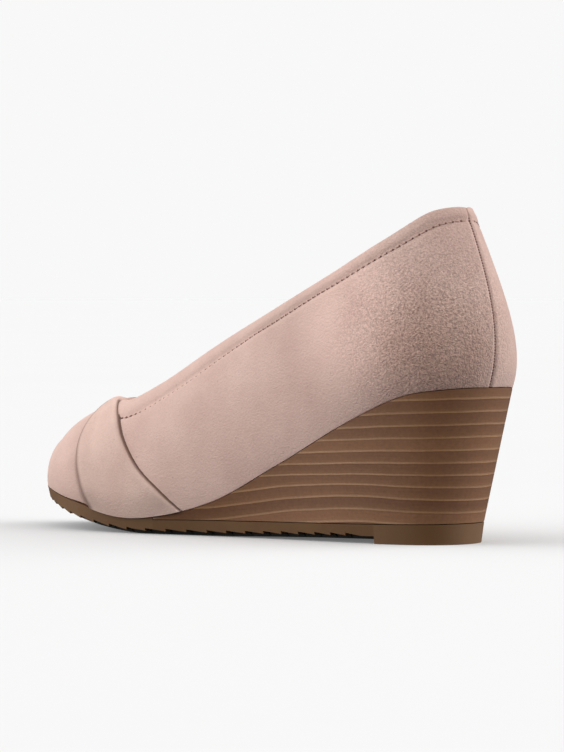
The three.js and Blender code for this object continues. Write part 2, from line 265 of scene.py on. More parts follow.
def laid(columns, rows, place, chart, shade=None):
    """A grid laid on a surface. place turns its shares into points, chart into the UV that the material
    reads, and shade into how much painted shade a point gets, in a vertex attribute."""
    bm = bmesh.new()
    layer = bm.loops.layers.uv.new("chart")
    depth = bm.verts.layers.float.new("crease_shade")
    bmesh.ops.create_grid(bm, x_segments=columns, y_segments=rows, size=0.5)
    flat = np.array([v.co for v in bm.verts]) + 0.5
    u, v = np.clip(flat[:, 0], 0, 1), np.clip(flat[:, 1], 0, 1)
    where = ORIGIN + place(u, v) * MM
    marks = chart(u, v)
    deep = np.zeros_like(u) if shade is None else shade(u, v)
    bm.verts.index_update()
    for vert, co, dark in zip(bm.verts, where, deep):
        vert.co = co
        vert[depth] = dark
    for face in bm.faces:
        for loop in face.loops:
            loop[layer].uv = marks[loop.vert.index]
    return bm


def plain_chart(u, v):
    """The grid's own shares as its UV"""
    return np.stack([u, v], axis=-1)


def closed(bm):
    """Welds a ring's first and last rows and fills its open ends"""
    bmesh.ops.remove_doubles(bm, verts=bm.verts, dist=0.02 * MM)
    bmesh.ops.holes_fill(bm, edges=[e for e in bm.edges if e.is_boundary], sides=0)
    return bm


def roll_edges(obj, rounding, angle):
    """Rounds the edges that are sharper than the angle"""
    roll = obj.modifiers.new("rolled edges", "BEVEL")
    roll.width = rounding * MM
    roll.segments = 4
    roll.limit_method = "ANGLE"
    roll.angle_limit = math.radians(angle)


# Materials


def linear(code):
    """A colour's sRGB hex code as linear red, green, blue and alpha"""
    parts = [int(code[i : i + 2], 16) / 255 for i in (0, 2, 4)]
    return [p / 12.92 if p <= 0.04045 else ((p + 0.055) / 1.055) ** 2.4 for p in parts] + [1.0]


def add(tree, kind, inputs, **settings):
    """A node of that kind. inputs gives its sockets, by name or number, a value or another's output."""
    made = tree.nodes.new("ShaderNode" + kind)
    for name, value in settings.items():
        setattr(made, name, value)
    for socket, value in inputs.items():
        if isinstance(value, bpy.types.NodeSocket):
            tree.links.new(value, made.inputs[socket])
        else:
            made.inputs[socket].default_value = value
    return made


def surface(name, **fixed):
    """A material with its node tree, its shader with the fixed values set, and its object coordinates"""
    material = bpy.data.materials.new(name)
    material.use_nodes = True
    tree = material.node_tree
    shader = tree.nodes["Principled BSDF"]
    for socket, value in fixed.items():
        shader.inputs[socket.replace("_", " ")].default_value = value
    return material, tree, shader, add(tree, "TexCoord", {}).outputs["Object"]


# Patches on the outer side: painted shade on the heel, a wider patch where the nap is coarser, and painted
# light on the quarter. Each has its middle in the last's frame and its reach, in millimetres, and
# is whole up to the core's distance, give or take its ragged edge.
HEEL_SHADE_PATCH = ((0, 30, 74), 42)
RUFFLED_PATCH = ((0, 32, 80), 60)
QUARTER_LIGHT_PATCH = ((42, 30, 84), 36)
PATCH_CORE = 10
PATCH_RAGGED = 9
# How far the painted shade on the heel and the painted shade in folds and seams go to their own dark tones,
# and the gain of the painted light on the quarter
HEEL_SHADE_SHARE = 0.55
CREASE_SHADE_SHARE = 0.85
QUARTER_LIGHT_GAIN = 1.24


def suede(name, base, pale, dark):
    """Brushed microfibre: the eye gets a soft matt nap, paler and darker where it was stroked, coarser at the
    heel, with fine short hairs that catch light at the edges. Painted shade darkens the heel, painted light
    lifts the quarter, and painted shade held in a vertex attribute darkens folds and seams"""
    material, tree, shader, place = surface(name, Roughness=0.93)
    shader.inputs["Specular IOR Level"].default_value = 0.15
    shader.inputs["Sheen Weight"].default_value = 0.25
    shader.inputs["Sheen Roughness"].default_value = 0.5
    shader.inputs["Sheen Tint"].default_value = linear("f6e2d8")
    stroked = add(tree, "TexNoise", {"Vector": place, "Scale": 34.0, "Detail": 4.0, "Roughness": 0.6})
    # Real fibres are about 0.05 mm wide: the clumps they lie in, 0.5 to 1 mm, are what the eye gets.
    fibre = add(tree, "TexNoise", {"Vector": place, "Scale": 1900.0, "Detail": 2.0, "Roughness": 0.6})
    clump = add(tree, "TexNoise", {"Vector": place, "Scale": 1150.0, "Detail": 1.0, "Roughness": 0.5})
    wander = {0: stroked.outputs[0], 3: -PATCH_RAGGED * MM, 4: PATCH_RAGGED * MM}
    ragged = add(tree, "MapRange", wander).outputs[0]
    patches = []
    for middle, reach in (HEEL_SHADE_PATCH, RUFFLED_PATCH, QUARTER_LIGHT_PATCH):
        spot = [o + c * MM for o, c in zip(ORIGIN, middle)]
        away = add(tree, "VectorMath", {0: place, 1: spot}, operation="DISTANCE").outputs["Value"]
        uneven = add(tree, "Math", {0: away, 1: ragged}, operation="ADD").outputs[0]
        fading = {0: uneven, 1: PATCH_CORE * MM, 2: reach * MM, 3: 1.0, 4: 0.0}
        patches.append(add(tree, "MapRange", fading, interpolation_type="SMOOTHSTEP").outputs[0])
    heel_shade, ruffled, quarter_light = patches
    nap = add(tree, "MapRange", {0: stroked.outputs[0], 1: 0.32, 2: 0.68}).outputs[0]
    brushed = add(tree, "Mix", {0: nap, 6: linear(dark), 7: linear(pale)}, data_type="RGBA").outputs[2]
    ground = add(tree, "Mix", {0: 0.55, 6: linear(base), 7: brushed}, data_type="RGBA").outputs[2]
    # Painted shade: the heel patch darkens the suede towards a darker tone
    heel_shade_amount = add(tree, "Math", {0: heel_shade, 1: HEEL_SHADE_SHARE}, operation="MULTIPLY").outputs[0]
    toned = add(tree, "Mix", {0: heel_shade_amount, 6: ground, 7: linear("a5806f")}, data_type="RGBA").outputs[2]
    # Painted light: the quarter patch brightens the suede by a gain
    gain = add(tree, "MapRange", {0: quarter_light, 3: 1.0, 4: QUARTER_LIGHT_GAIN}).outputs[0]
    lit = add(tree, "VectorMath", {0: toned, 1: gain}, operation="MULTIPLY").outputs[0]
    grain = add(tree, "Math", {0: fibre.outputs[0], 1: clump.outputs[0]}, operation="ADD").outputs[0]
    contrast = add(tree, "MapRange", {0: ruffled, 3: 0.14, 4: 1.3}).outputs[0]
    centred = add(tree, "Math", {0: grain, 1: 1.0}, operation="SUBTRACT").outputs[0]
    speck = add(tree, "Math", {0: centred, 1: contrast, 2: 1.0}, operation="MULTIPLY_ADD").outputs[0]
    flecked = add(tree, "VectorMath", {0: lit, 1: speck}, operation="MULTIPLY").outputs[0]
    pits = add(tree, "TexVoronoi", {"Vector": place, "Scale": 150.0}).outputs["Distance"]
    clean = add(tree, "MapRange", {0: pits, 1: 0.03, 2: 0.07, 3: 0.78, 4: 1.0}).outputs[0]
    pitted = add(tree, "VectorMath", {0: flecked, 1: clean}, operation="MULTIPLY").outputs[0]
    # Painted shade from the pieces' vertex attribute: along the band's edges, under it and in the back seam
    crease_shade = add(tree, "Attribute", {}, attribute_name="crease_shade").outputs["Fac"]
    shaded = add(tree, "Math", {0: crease_shade, 1: CREASE_SHADE_SHARE}, operation="MULTIPLY").outputs[0]
    final = add(tree, "Mix", {0: shaded, 6: pitted, 7: linear("553528")}, data_type="RGBA").outputs[2]
    tree.links.new(final, shader.inputs["Base Color"])
    depth = add(tree, "MapRange", {0: ruffled, 3: 0.35, 4: 0.9}).outputs[0]
    bump = add(tree, "Bump", {"Strength": depth, "Distance": 0.45 * MM, "Height": grain})
    tree.links.new(bump.outputs[0], shader.inputs["Normal"])
    return material


BLUSH = suede("blush_microsuede", "d2b2a7", "dec0b4", "c3a298")
BLUSH_FOLDED = suede("blush_microsuede_folded", "d5b7aa", "dfc3b7", "c8a79c")


def lining():
    """Smooth synthetic leather: the eye gets a plain warm blush beige with a fine grain and a low gloss"""
    material, tree, shader, place = surface("beige_synthetic_leather", Roughness=0.6)
    shader.inputs["Specular IOR Level"].default_value = 0.3
    cells = add(tree, "TexVoronoi", {"Vector": place, "Scale": 900.0}).outputs[0]
    cloud = add(tree, "TexNoise", {"Vector": place, "Scale": 60.0, "Detail": 2.0}).outputs[0]
    tone = add(tree, "Mix", {0: cloud, 6: linear("cfac9b"), 7: linear("dcbcab")}, data_type="RGBA")
    tree.links.new(tone.outputs[2], shader.inputs["Base Color"])
    bump = add(tree, "Bump", {"Strength": 0.4, "Distance": 0.12 * MM, "Height": cells})
    tree.links.new(bump.outputs[0], shader.inputs["Normal"])
    return material


LINING = lining()

# The stacked wedge's lines: the lowest one over the floor and the distance between two, and the shares of
# a layer that a line and its glow take up
FIRST_LINE = 11.4
LAYER = 4.72
LINE_SHARE = 0.2
GLOW_SHARE = 0.75


def stacked():
    """Varnished stacked layers on the wedge: the eye gets brown layers, each with its own tone and a
    streaky grain along it, parted by thin pale lines"""
    material, tree, shader, place = surface("stacked_wedge", Roughness=0.42)
    shader.inputs["Specular IOR Level"].default_value = 0.5
    chart = add(tree, "UVMap", {}, uv_map="chart").outputs[0]
    parts = add(tree, "SeparateXYZ", {0: chart}).outputs
    wander = add(tree, "TexNoise", {"Vector": place, "Scale": 55.0, "Detail": 2.0}).outputs[0]
    uneven = add(tree, "MapRange", {0: wander, 3: -0.07, 4: 0.07}).outputs[0]
    height = add(tree, "Math", {0: parts[1], 1: uneven}, operation="ADD").outputs[0]
    layer = add(tree, "Math", {0: height}, operation="FLOOR").outputs[0]
    level = add(tree, "Math", {0: height}, operation="FRACT").outputs[0]
    tone = add(tree, "TexWhiteNoise", {"W": layer}, noise_dimensions="1D").outputs[0]
    along = add(tree, "Math", {0: parts[0], 1: 0.06}, operation="MULTIPLY").outputs[0]
    across = add(tree, "Math", {0: height, 1: 7.0}, operation="MULTIPLY").outputs[0]
    streak_at = add(tree, "CombineXYZ", {0: along, 1: across, 2: layer}).outputs[0]
    streak = add(tree, "TexNoise", {"Vector": streak_at, "Scale": 1.0, "Detail": 5.0, "Roughness": 0.65})
    fine = add(tree, "TexNoise", {"Vector": place, "Scale": 800.0, "Detail": 3.0}).outputs[0]
    mixed = add(tree, "Math", {0: tone, 1: streak.outputs[0]}, operation="ADD").outputs[0]
    share = add(tree, "MapRange", {0: mixed, 1: 0.3, 2: 1.6}).outputs[0]
    wood = add(tree, "Mix", {0: share, 6: linear("765039"), 7: linear("94694c")}, data_type="RGBA").outputs[2]
    rim, glow = (
        add(
            tree, "MapRange", {0: level, 2: width, 3: 1.0, 4: 0.0}, interpolation_type="SMOOTHSTEP"
        ).outputs[0]
        for width in (LINE_SHARE, GLOW_SHARE)
    )
    faint = add(tree, "MapRange", {0: streak.outputs[0], 1: 0.3, 2: 0.7, 3: 0.25, 4: 0.62}).outputs[0]
    soft = add(tree, "Math", {0: glow, 1: 0.22}, operation="MULTIPLY").outputs[0]
    line = add(tree, "Math", {0: rim, 1: faint, 2: soft}, operation="MULTIPLY_ADD").outputs[0]
    lined = add(tree, "Mix", {0: line, 6: wood, 7: linear("b2875d")}, data_type="RGBA").outputs[2]
    under = add(
        tree, "MapRange", {0: level, 1: 0.84, 2: 1.0, 3: 1.0, 4: 0.87}, interpolation_type="SMOOTHSTEP"
    ).outputs[0]
    speck = add(tree, "MapRange", {0: fine, 1: 0.3, 2: 0.7, 3: 0.92, 4: 1.08}).outputs[0]
    dulled = add(tree, "Math", {0: under, 1: speck}, operation="MULTIPLY").outputs[0]
    final = add(tree, "VectorMath", {0: lined, 1: dulled}, operation="MULTIPLY").outputs[0]
    tree.links.new(final, shader.inputs["Base Color"])
    bump = add(tree, "Bump", {"Strength": 0.35, "Distance": 0.25 * MM, "Height": rim})
    tree.links.new(bump.outputs[0], shader.inputs["Normal"])
    return material


STACKED = stacked()


def rubber(name, base, dark):
    """Moulded sole rubber: the eye gets an even matt colour with a faint mould grain"""
    material, tree, shader, place = surface(name, Roughness=0.55)
    shader.inputs["Specular IOR Level"].default_value = 0.45
    cloud = add(tree, "TexNoise", {"Vector": place, "Scale": 90.0, "Detail": 3.0}).outputs[0]
    grain = add(tree, "TexNoise", {"Vector": place, "Scale": 900.0, "Detail": 2.0}).outputs[0]
    tone = add(tree, "Mix", {0: cloud, 6: linear(dark), 7: linear(base)}, data_type="RGBA").outputs[2]
    tree.links.new(tone, shader.inputs["Base Color"])
    bump = add(tree, "Bump", {"Strength": 0.3, "Distance": 0.1 * MM, "Height": grain})
    tree.links.new(bump.outputs[0], shader.inputs["Normal"])
    return material


RUBBER = rubber("brown_sole_rubber", "7a5836", "6b4b2d")
# The tread's near-black is partly dark rubber and partly painted shade under the overhanging edge
TREAD = rubber("tread_rubber_and_painted_shade", "34312e", "262422")


def thread(name, code):
    """Polyester sewing thread: the eye gets small rounded stitches with a faint twist"""
    material, tree, shader, place = surface(name, Roughness=0.65)
    twist = add(tree, "TexNoise", {"Vector": place, "Scale": 2500.0, "Detail": 1.0}).outputs[0]
    tone = add(tree, "MapRange", {0: twist, 1: 0.3, 2: 0.7, 3: 0.85, 4: 1.1}).outputs[0]
    final = add(tree, "VectorMath", {0: linear(code)[:3], 1: tone}, operation="MULTIPLY").outputs[0]
    tree.links.new(final, shader.inputs["Base Color"])
    return material


THREAD = thread("blush_thread", "c39f92")
# Painted shade: dark brown beads stand for the shade in the needle holes between the stitches
NEEDLE_HOLE_SHADE = thread("needle_hole_shade", "6e4d43")

# The upper: behind the throat its columns end on the topline, before it on the ridge. They stand closer
# at the back seam.
UPPER_COLUMNS = 380
UPPER_ROWS = 64
QUARTER_SHARE = 0.6
SEAM_CROWDING = 1.35
# How far the stitch row lies under the topline, at shares of the way from the heel to the throat
STITCH_ROW = {
    "share": (0, 0.1, 0.33, 0.44, 0.55, 0.65, 0.8, 1),
    "drop": (5.2, 5.9, 4.6, 5.6, 9.2, 9.8, 8.8, 8),
}
SHARES = np.linspace(0, 1, 101)
# Millimetres for a share along the flank of the vamp, where the band lies, and at the toe
ALONG_MM = 190.0
TOE_ALONG_MM = 120.0
# The troughs that the band presses into the upper: how deep and how far from its edge, in millimetres
FRONT_TROUGH = (1.0, 2.6)
REAR_TROUGH = (0.3, 2.0)


def column_of(u):
    """The side, the share along and the top of the upper's column at u, from toe to toe round the heel"""
    side = np.where(u < 0.5, OUTER, INNER)
    share = np.abs(2 * u - 1)
    back = np.minimum(share / QUARTER_SHARE, 1) ** SEAM_CROWDING
    ahead = np.clip((share - QUARTER_SHARE) / (1 - QUARTER_SHARE), 0, 1)
    behind = share < QUARTER_SHARE
    along = np.where(behind, read(TOPLINE["along"], back), mix(THROAT, 1, ahead))
    top = np.where(behind, read(TOPLINE["up"], back), 1.0)
    return side, along, top


def edge_at(table, up):
    """Where an edge of the drape is along the last, at a share up"""
    return np.interp(up, DRAPE["up"], DRAPE[table])


def bump_at(distance, reach):
    return np.exp(-((distance / reach) ** 2))


def trough(distance, depth, reach):
    """Sinks from nothing at the band's edge to the depth at the reach, and comes back slowly"""
    return -depth * (distance / reach) * np.exp(1 - distance / reach)


def below_topline(along, up, side, top):
    """The distance down the flank from the topline"""
    climb = rib(along, np.minimum(up + STEP, 1), side) - rib(along, np.maximum(up - STEP, 0), side)
    return (top - up) * np.linalg.norm(climb, axis=-1) / (2 * STEP)


def stitch_drop(share):
    return np.interp(share, STITCH_ROW["share"], STITCH_ROW["drop"])


def upper_relief(along, up, side, top):
    """The suede's own soft form in millimetres: the sunk back seam, the puffed topline over its stitch
    row, the troughs beside the band and the soft creases of the toe"""
    flank = rib(along, up, side)
    from_seam = np.where(along < 0.2, np.abs(flank[..., 1] - middle_at(along)), 99)
    drop = below_topline(along, up, side, top)
    seam = (0.18 * bump_at(from_seam - 1.7, 1.0) - 0.4 * bump_at(from_seam, 0.7)) * smooth(0.5, 4, drop)
    quarter = 1 - smooth(0.66, 0.71, along)
    row = stitch_drop(np.interp(along, read(TOPLINE["along"], SHARES), SHARES))
    collar = (0.3 * bump_at(drop - row / 2, row / 3) - 0.4 * bump_at(drop - row, 0.9)) * quarter
    ahead = np.maximum((along - edge_at("front", up)) * ALONG_MM, 0)
    behind = np.maximum((edge_at("rear", up) - along) * ALONG_MM, 0)
    in_front = trough(ahead, *FRONT_TROUGH) * (1 - smooth(0.86, 0.98, up))
    in_back = trough(behind, *REAR_TROUGH) * (1 - smooth(0.5, 0.66, up))
    crown = 0.6 * smooth(0.88, 1.0, up) * bump_at(ahead, 14) * (ahead > 0)
    toe_crease = (along - 0.845 - 0.1 * (up - 0.5)) * TOE_ALONG_MM
    fold = -0.8 * bump_at(toe_crease, 2.6) * bump_at(up - 0.56, 0.2)
    return seam + collar + in_front + in_back + crown + fold


def upper_at(u, v):
    side, along, top = column_of(u)
    up = top * v
    return skin(along, up, side, upper_relief(along, up, side, top))


def upper_chart(u, v):
    side, along, top = column_of(u)
    return np.stack([along * side, top * v], axis=-1)


def upper_shade(u, v):
    """Painted shade, dark in the back seam's groove and where the suede runs in under the band's front edge
    """
    side, along, top = column_of(u)
    up = top * v
    seam = 0.6 * bump_at(np.abs(rib(along, up, side)[..., 1] - middle_at(along)), 0.35) * (along < 0.1)
    ahead = (along - edge_at("front", up)) * ALONG_MM
    past = np.maximum(ahead, 0)
    front = (0.62 * (1 - smooth(1.2, 3.6, past)) + 0.2 * bump_at(past, 6)) * (1 - smooth(0.93, 0.99, up))
    return np.maximum(seam, front * (ahead > -4))


upper_grid = laid(UPPER_COLUMNS, UPPER_ROWS, upper_at, upper_chart, upper_shade)
upper = finished("upper_suede", upper_grid, BLUSH)
wall = upper.modifiers.new("wall", "SOLIDIFY")
wall.thickness = WALL * MM
wall.offset = -1
wall.material_offset = 1
wall.material_offset_rim = 0
upper.data.materials.append(LINING)
roll_edges(upper, 0.5, 50)
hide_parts("upper")

# The draped band: its cross-section runs over the top from the rear edge to the front, then back under it.
# Its edges are rolled round past a narrow flange, and its underside is sunk a little into the upper.
TOP_PART = 0.72
EDGE_ROUND = 1.1
END_ROUND = 0.9
FLANGE = 0.3
SEAT = 0.06
UNDER = 0.35
UNDER_SHADE = 0.9
BAND_COLUMNS, BAND_ROWS = 72, 130
# Millimetres for a share of the way up the band
UP_MM = 320


def rounded(distance, radius):
    """The height share of an edge that is rolled round with that radius"""
    return np.sqrt(np.clip(1 - (1 - np.clip(distance / radius, 0, 1)) ** 2, 0, 1))


def drape(name, side, end, node):
    """One band, from the feather line up to its end, a share of the drape's table"""

    def section(u, v):
        """Whether a point is on the top, where it lies, how high it stands, and how far from either edge"""
        over = u <= TOP_PART
        round_trip = np.where(over, u / TOP_PART, 1 - (u - TOP_PART) / (1 - TOP_PART))
        across = (1 - np.cos(math.pi * round_trip)) / 2
        share = v * end
        up = read(DRAPE["up"], share)
        rear, front = read(DRAPE["rear"], share), read(DRAPE["front"], share)
        wide = ALONG_MM * (front - rear)
        along = mix(rear, front, across)
        from_rear, from_front = across * wide - FLANGE, (1 - across) * wide - FLANGE
        body = mix(DRAPE_EDGE, DRAPE_THICKNESS, smooth(0, DRAPE_TAPER, up)) + GAP
        ease = smooth(0, 0.15, up) * (1 - smooth(0.86, 1.0, up))
        folds = 1.0 * bump_at(from_front - 2.0, 2.4) * ease + 0.3 * bump_at(from_rear - 1.6, 1.8) * ease
        valley = -0.35 * bump_at(across - 0.55 - 0.1 * up, 0.16) * ease
        edges = rounded(from_rear, EDGE_ROUND) * rounded(from_front, EDGE_ROUND)
        thinned = smooth(0.74, 0.94, up) * (1 - smooth(0.3, 0.8, across))
        body = body * mix(1, 0.15, thinned) * mix(1, 0.4, smooth(0.88, 1.0, up))
        from_end = (end - share) * UP_MM
        sunk = 0.35 * smooth(0.85, 0.95, up) * (1 - smooth(0.15, 0.6, across))
        height = (body + folds + valley) * edges * rounded(from_end, END_ROUND) - sunk
        return over, along, up, height, from_rear, from_front

    def place(u, v):
        over, along, up, height, _, _ = section(u, v)
        return skin(along, up, side, SEAT + np.where(over, height, -UNDER))

    # Painted shade along the band's rear edge, down its front fold and all over its underside
    def shade(u, v):
        over, _, up, _, from_rear, from_front = section(u, v)
        rear = (1 - smooth(0, 0.32, from_rear)) * (1 - smooth(0.76, 0.87, up))
        front = 0.95 * (1 - smooth(0.5, 2.5, from_front)) * (1 - smooth(0.93, 0.99, up))
        return np.where(over, np.maximum(rear, front), UNDER_SHADE)

    band_grid = closed(laid(BAND_COLUMNS, BAND_ROWS, place, plain_chart, shade))
    band = finished(name, band_grid, BLUSH_FOLDED)
    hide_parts(node)


drape("drape_outer_suede", OUTER, 1.0, "drape_outer")
drape("drape_inner_suede", INNER, INNER_DRAPE_END, "drape_inner")

# Stitches


def sewn_row(side):
    """Points of the stitch row: the topline walked down the flank, square to itself, in short steps"""
    share = np.linspace(0.012, 0.93, 500)
    along, up = read(TOPLINE["along"], share), read(TOPLINE["up"], share)
    sides = np.full_like(share, side)
    nothing = np.zeros_like(share)
    walk = 8
    drop = stitch_drop(share)
    for _ in range(walk):
        here = skin(along, up, sides, nothing)
        east = (skin(along + STEP, up, sides, nothing) - here) / STEP
        north = (skin(along, up + STEP, sides, nothing) - here) / STEP
        run = unit(np.gradient(here, axis=0))
        down = unit(np.cross(facing(along, up, sides), run)) * side
        down = down * np.where(np.sum(down * north, axis=-1) > 0, -1, 1)[:, None] * drop[:, None] / walk
        ee, en, nn = (np.sum(a * b, axis=-1) for a, b in ((east, east), (east, north), (north, north)))
        de, dn = np.sum(down * east, axis=-1), np.sum(down * north, axis=-1)
        size = ee * nn - en * en
        along = along + (de * nn - dn * en) / size
        up = up + (dn * ee - de * en) / size
    seen = along < edge_at("rear", up) - 0.001
    return along[seen], up[seen], sides[seen]


def even_places(path, pitch):
    """Places at that pitch down a path, as shares of its index"""
    run = np.concatenate([[0], np.cumsum(np.linalg.norm(np.diff(path, axis=0), axis=1))])
    return np.interp(np.arange(pitch / 2, run[-1], pitch), run, np.arange(len(path)))


def beads(bm, path, normals, places, size):
    """Small rounded bodies along a path, each of a length, width and height"""
    index = np.arange(len(path))
    for at in places:
        mid, before, after = (
            np.array([np.interp(at + k, index, path[:, axis]) for axis in range(3)]) for k in (0, -1, 1)
        )
        normal = Vector([np.interp(at, index, normals[:, axis]) for axis in range(3)]).normalized()
        run = Vector(after - before).normalized()
        across = normal.cross(run).normalized()
        turn = Matrix((run, across, normal)).transposed().to_4x4()
        scale = Matrix.Diagonal([s / 2 * MM for s in size] + [1])
        spot = Matrix.Translation(Vector(ORIGIN + mid * MM))
        bmesh.ops.create_uvsphere(bm, u_segments=8, v_segments=5, radius=1, matrix=spot @ turn @ scale)


# Sizes of a stitch and of a needle hole are length, width and height. A row lies so far in the suede.
STITCH_PITCH = 2.7
STITCH_SIZE = (2.2, 0.6, 0.55)
HOLE_SIZE = (1.1, 0.8, 0.55)
ROW_DEPTH = 0.24
stitches, holes = bmesh.new(), bmesh.new()
for flank in (OUTER, INNER):
    along, up, sides = sewn_row(flank)
    row = skin(along, up, sides, np.full_like(along, -ROW_DEPTH))
    normals = facing(along, up, sides)
    spots = even_places(row, STITCH_PITCH)
    beads(stitches, row, normals, spots, STITCH_SIZE)
    # Dark beads of painted shade for the needle holes, halfway between the stitches
    beads(holes, row, normals, spots + (spots[1] - spots[0]) / 2, HOLE_SIZE)
finished("topline_stitches", stitches, THREAD)
finished("topline_needle_hole_shade", holes, NEEDLE_HOLE_SHADE)

# The back seam is closed with short stitches, of which only the needle holes show, as dark beads of painted
# shade.
SEAM_PITCH = 1.05
SEAM_HOLE_SIZE = (0.66, 0.95, 0.6)
SEAM_DEPTH = 0.36
seam_up = np.linspace(0.01, TOPLINE["up"][0] - 0.01, 300)
seam, on_skin, over_skin = (skin(0.0, seam_up, OUTER, out) for out in (-SEAM_DEPTH, 0.0, 1.0))
ticks = bmesh.new()
beads(ticks, seam, unit(over_skin - on_skin), even_places(seam, SEAM_PITCH), SEAM_HOLE_SIZE)
finished("back_seam_needle_hole_shade", ticks, NEEDLE_HOLE_SHADE)


def drawn_in(along, side, inset):
    """The outline drawn in. At the heel and toe both sides give the same point."""
    point = outline(along, side) - outward(along, side) * inset
    other = outline(along, -side) - outward(along, -side) * inset
    end = (along <= 0) | (along >= 1)
    return np.where(end[..., None], (point + other) / 2, point)


# The sock over the insole: a thin sheet from side to side with a low crown
SOCK_THICKNESS = 1.0
SOCK_CROWN = 0.5


def sock_at(u, v):
    across = 2 * v - 1
    out, inn = np.full_like(u, OUTER), np.full_like(u, INNER)
    inset = WALL + INSOLE_CLEARANCE
    ends = drawn_in(u, out, inset), drawn_in(u, inn, inset)
    middle = (ends[0] + ends[1]) / 2
    edge = np.where((across >= 0)[..., None], *ends)
    point = mix(middle, edge, np.abs(across)[..., None])
    crown = SOCK_CROWN * (1 - across**4)
    return at_height(point, footbed(along_of(point[..., 0])) + INSOLE_THICKNESS - SOCK_CROWN + crown)


sock = finished("sock", laid(180, 28, sock_at, plain_chart), LINING)
sheet = sock.modifiers.new("sheet", "SOLIDIFY")
sheet.thickness = SOCK_THICKNESS * MM
sheet.offset = -1
roll_edges(sock, 0.3, 50)
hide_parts("insole")

# The wedge and the sole

WEDGE_TIP = float(along_of(np.array(WEDGE_LENGTH)))
WEDGE_STEP = float(along_of(np.array(WEDGE_LENGTH + GAP)))


def seam_height(x):
    """The seam between wedge and outsole over the floor"""
    tip = footbed(np.array(WEDGE_TIP)) - GAP - WEDGE_EDGE
    return mix(PAD_HEIGHT, tip, (x - UNDERCUT) / (WEDGE_LENGTH - UNDERCUT))


def wedge_foot(along, side):
    """The lower edge of the wedge's wall, which leans in to the heel pad"""
    point = outline(along, side)
    forward = np.minimum(point[..., 0] / WEDGE_LENGTH, 1)
    narrow = mix(PAD_WIDTH / SEAT_WIDTH, 1, forward**WEDGE_FLARE)
    x = point[..., 0] + UNDERCUT * (1 - forward)
    return points(x, mix(middle_at(along), point[..., 1], narrow), seam_height(x))


def ring_place(v, corners):
    """A point v of the way round a ring through corners, which are given for each point"""
    place = np.round(v * len(corners), 6)
    row = np.minimum(place.astype(int), len(corners) - 1)
    around = np.stack(corners + corners[:1])
    index = np.arange(len(v))
    return mix(around[row, index], around[row + 1, index], (place - row)[..., None])


def wedge_at(u, v):
    along = u * WEDGE_TIP
    out, inn = np.full_like(u, OUTER), np.full_like(u, INNER)
    tops = [at_height(outline(along, s), footbed(along) - GAP) for s in (out, inn)]
    return ring_place(v, tops + [wedge_foot(along, s) for s in (inn, out)])


def layer_fall(x, height):
    """How far the stack's layers fall on their way to the toe. The lowest ones rise a little first."""
    layer = (height - FIRST_LINE) / LAYER
    low = (3.0 * smooth(75, 130, x) - 1.5 * bump_at(x - 50, 28)) * (1 - smooth(1.5, 3.5, layer))
    high = 0.009 * x * np.clip(layer - 2.5, 0, 5)
    return 3.0 * smooth(30, 130, x) + low + high


def wedge_chart(u, v):
    point = wedge_at(u, v)
    layer = (point[..., 2] + layer_fall(point[..., 0], point[..., 2]) - FIRST_LINE) / LAYER
    # The streaks run on round the heel. The 20 keeps every layer's number above 0.
    return np.stack([point[..., 0] + 0.6 * np.abs(point[..., 1]), layer + 20], axis=-1)


wedge = finished("wedge_stack", closed(laid(160, 48, wedge_at, wedge_chart)), STACKED, 40)
roll_edges(wedge, 0.35, 40)
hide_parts("wedge")

# The outsole's stations come in pairs where the pad, a tooth or the wedge's tip steps.
PAIR = np.array([-2e-6, 2e-6])
tooth_ends = mix(TEETH_START, TEETH_END, np.arange(TEETH + 1) / TEETH)
tooth_halves = [share + PAIR for share in (*tooth_ends, PAD_END, WEDGE_STEP)]
SOLE_STATIONS = np.sort(np.concatenate([np.linspace(0, 1, 141), *tooth_halves]))
# How far the teeth reach in under the edge, and the smooth strip over them
TOOTH_REACH = 3.0
TOOTH_SHOWN = 0.65
STRIP = 0.4


def tooth_cut(state):
    """How far a tooth of the outsole's edge is cut away: it ramps up to the toe and then drops."""
    place = (state - TEETH_START) / (TEETH_END - TEETH_START) * TEETH
    return np.where((place < 0) | (place > TEETH), 0, TOOTH_DEPTH * (place % 1))


def sole_at(u, v):
    state = SOLE_STATIONS[np.round(u * (len(SOLE_STATIONS) - 1)).astype(int)]
    along = np.clip(np.round(state, 5), 0, 1)
    on_pad = state < PAD_END
    lift = WAIST_LIFT * read(UNDERSIDE["waist"], along) + TOE_LIFT * read(UNDERSIDE["toe"], along)
    under = np.where(on_pad, 0, np.maximum(lift, 0))

    def flank(side):
        ahead = at_height(outline(along, side), footbed(along))
        top = np.where((state < WEDGE_STEP)[..., None], wedge_foot(along, side), ahead)
        top = at_height(top, top[..., 2] - GAP)
        shift = at_height(top - outline(along, side), 0)
        foot_height = under + np.where(on_pad, 0, EDGE_LIFT)
        foot = at_height(drawn_in(along, side, EDGE_INSET) + shift, foot_height)
        tall = top[..., 2] - foot_height
        cut = mix(foot, top, (np.where(on_pad, 0, TOOTH_SHOWN * tooth_cut(state)) / tall)[..., None])
        strip = mix(foot, top, ((TOOTH_DEPTH + STRIP) / tall)[..., None])
        inner = at_height(drawn_in(along, side, EDGE_INSET + TOOTH_REACH) + shift, cut[..., 2])
        half = inner[..., 1] - middle_at(along)
        inset = np.minimum(TREAD_MARGIN - TOOTH_REACH, np.abs(half) * TREAD_SHARE) * 0.4
        tread = points(inner[..., 0], inner[..., 1] - np.sign(half) * inset, under)
        return top, strip, cut, inner, tread

    top_o, strip_o, cut_o, inner_o, tread_o = flank(np.full_like(u, OUTER))
    top_i, strip_i, cut_i, inner_i, tread_i = flank(np.full_like(u, INNER))
    ring = [top_o, top_i, strip_i, cut_i, inner_i, tread_i, tread_o, inner_o, cut_o, strip_o]
    return ring_place(v, ring)


